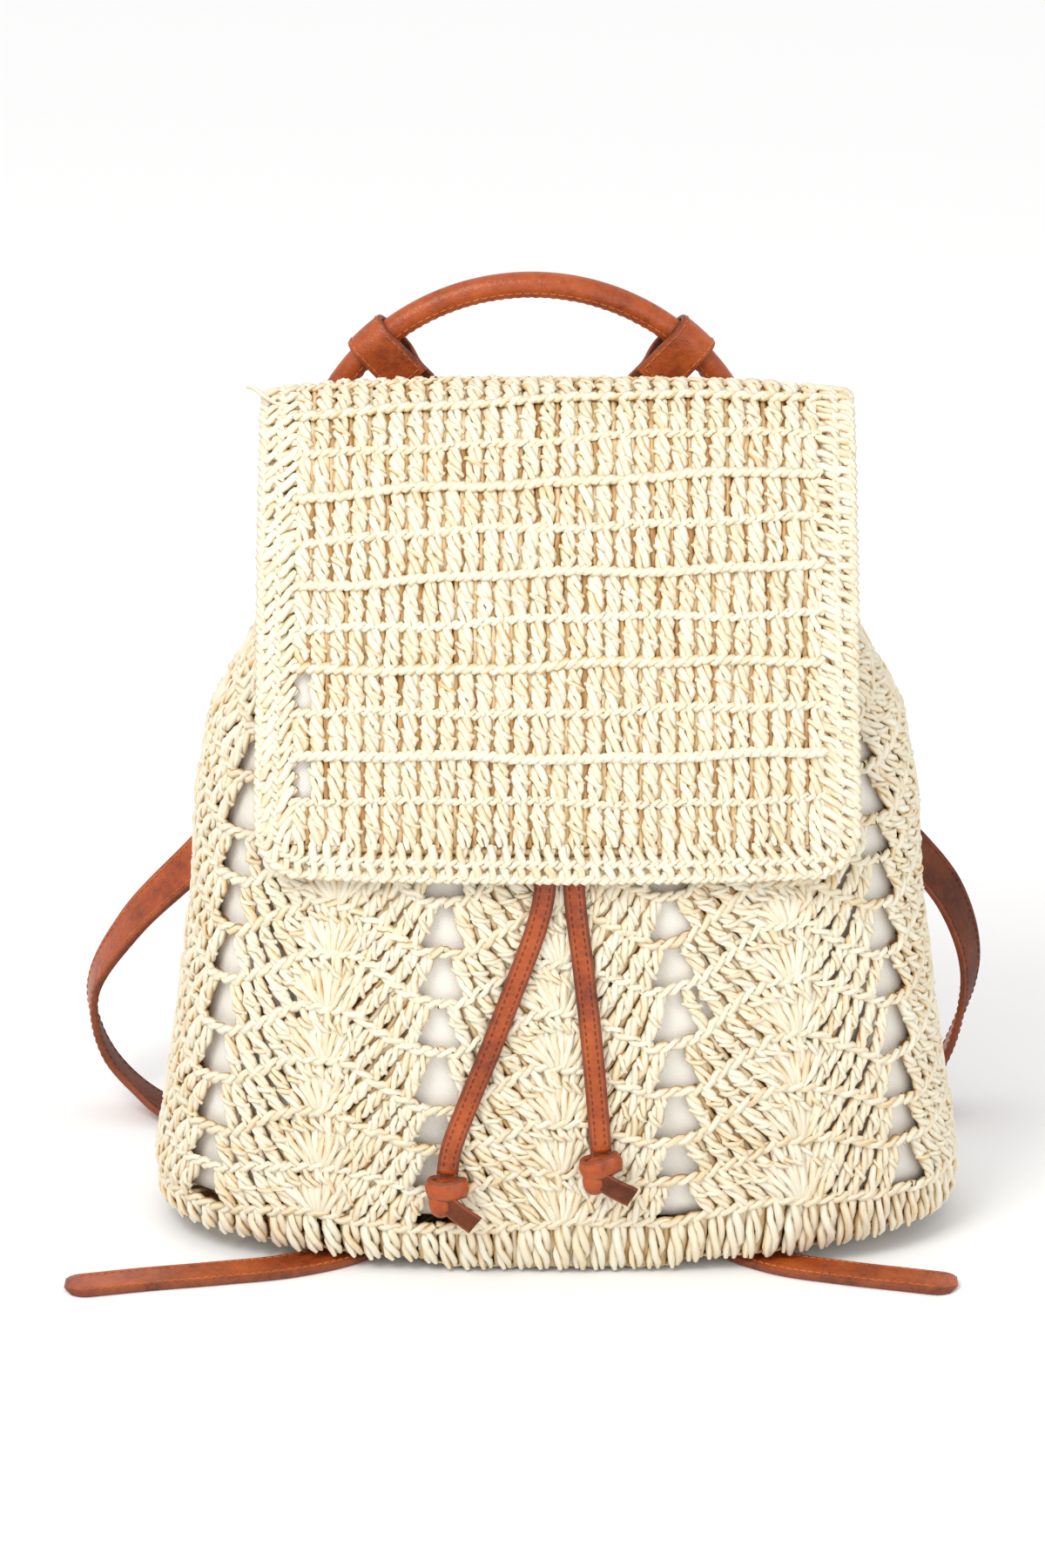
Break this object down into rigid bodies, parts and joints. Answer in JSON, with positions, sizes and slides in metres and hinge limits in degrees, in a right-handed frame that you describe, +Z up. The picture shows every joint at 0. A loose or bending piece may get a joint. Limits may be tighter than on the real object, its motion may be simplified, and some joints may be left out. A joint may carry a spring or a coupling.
{
  "type": "backpack",
  "caption": "Soft crocheted straw backpack with a fold-over flap, a rolled leather handle, leather shoulder straps and a knotted drawstring.",
  "frame": {"origin": "middle of the base's flat underside, on the floor that the bag stands on", "axes": "+Z up, -Y towards the front with the flap and the laces, +X to the right as seen from the front"},
  "size_m": [0.3694, 0.2078, 0.3745],
  "materials": {
    "straw": "matt paper straw, crocheted",
    "lining_cloth": "matt twill",
    "leather": "grained, satin, stitched edges"
  },
  "bodies": {
    "root": {"body_wall": "straw", "base_panel": "straw", "lining": "lining_cloth", "flap": "straw", "flap_lining": "lining_cloth", "handle": "leather", "handle_tab_left": "leather", "handle_tab_right": "leather", "back_patch": "leather", "shoulder_strap_left": "leather", "shoulder_strap_right": "leather", "corner_patch_left": "leather", "corner_patch_right": "leather", "strap_tail_left": "leather", "strap_tail_right": "leather", "drawstring": "leather", "lace_left": "leather", "lace_right": "leather", "knot_left": "leather", "knot_right": "leather"}
  },
  "joints": []
}
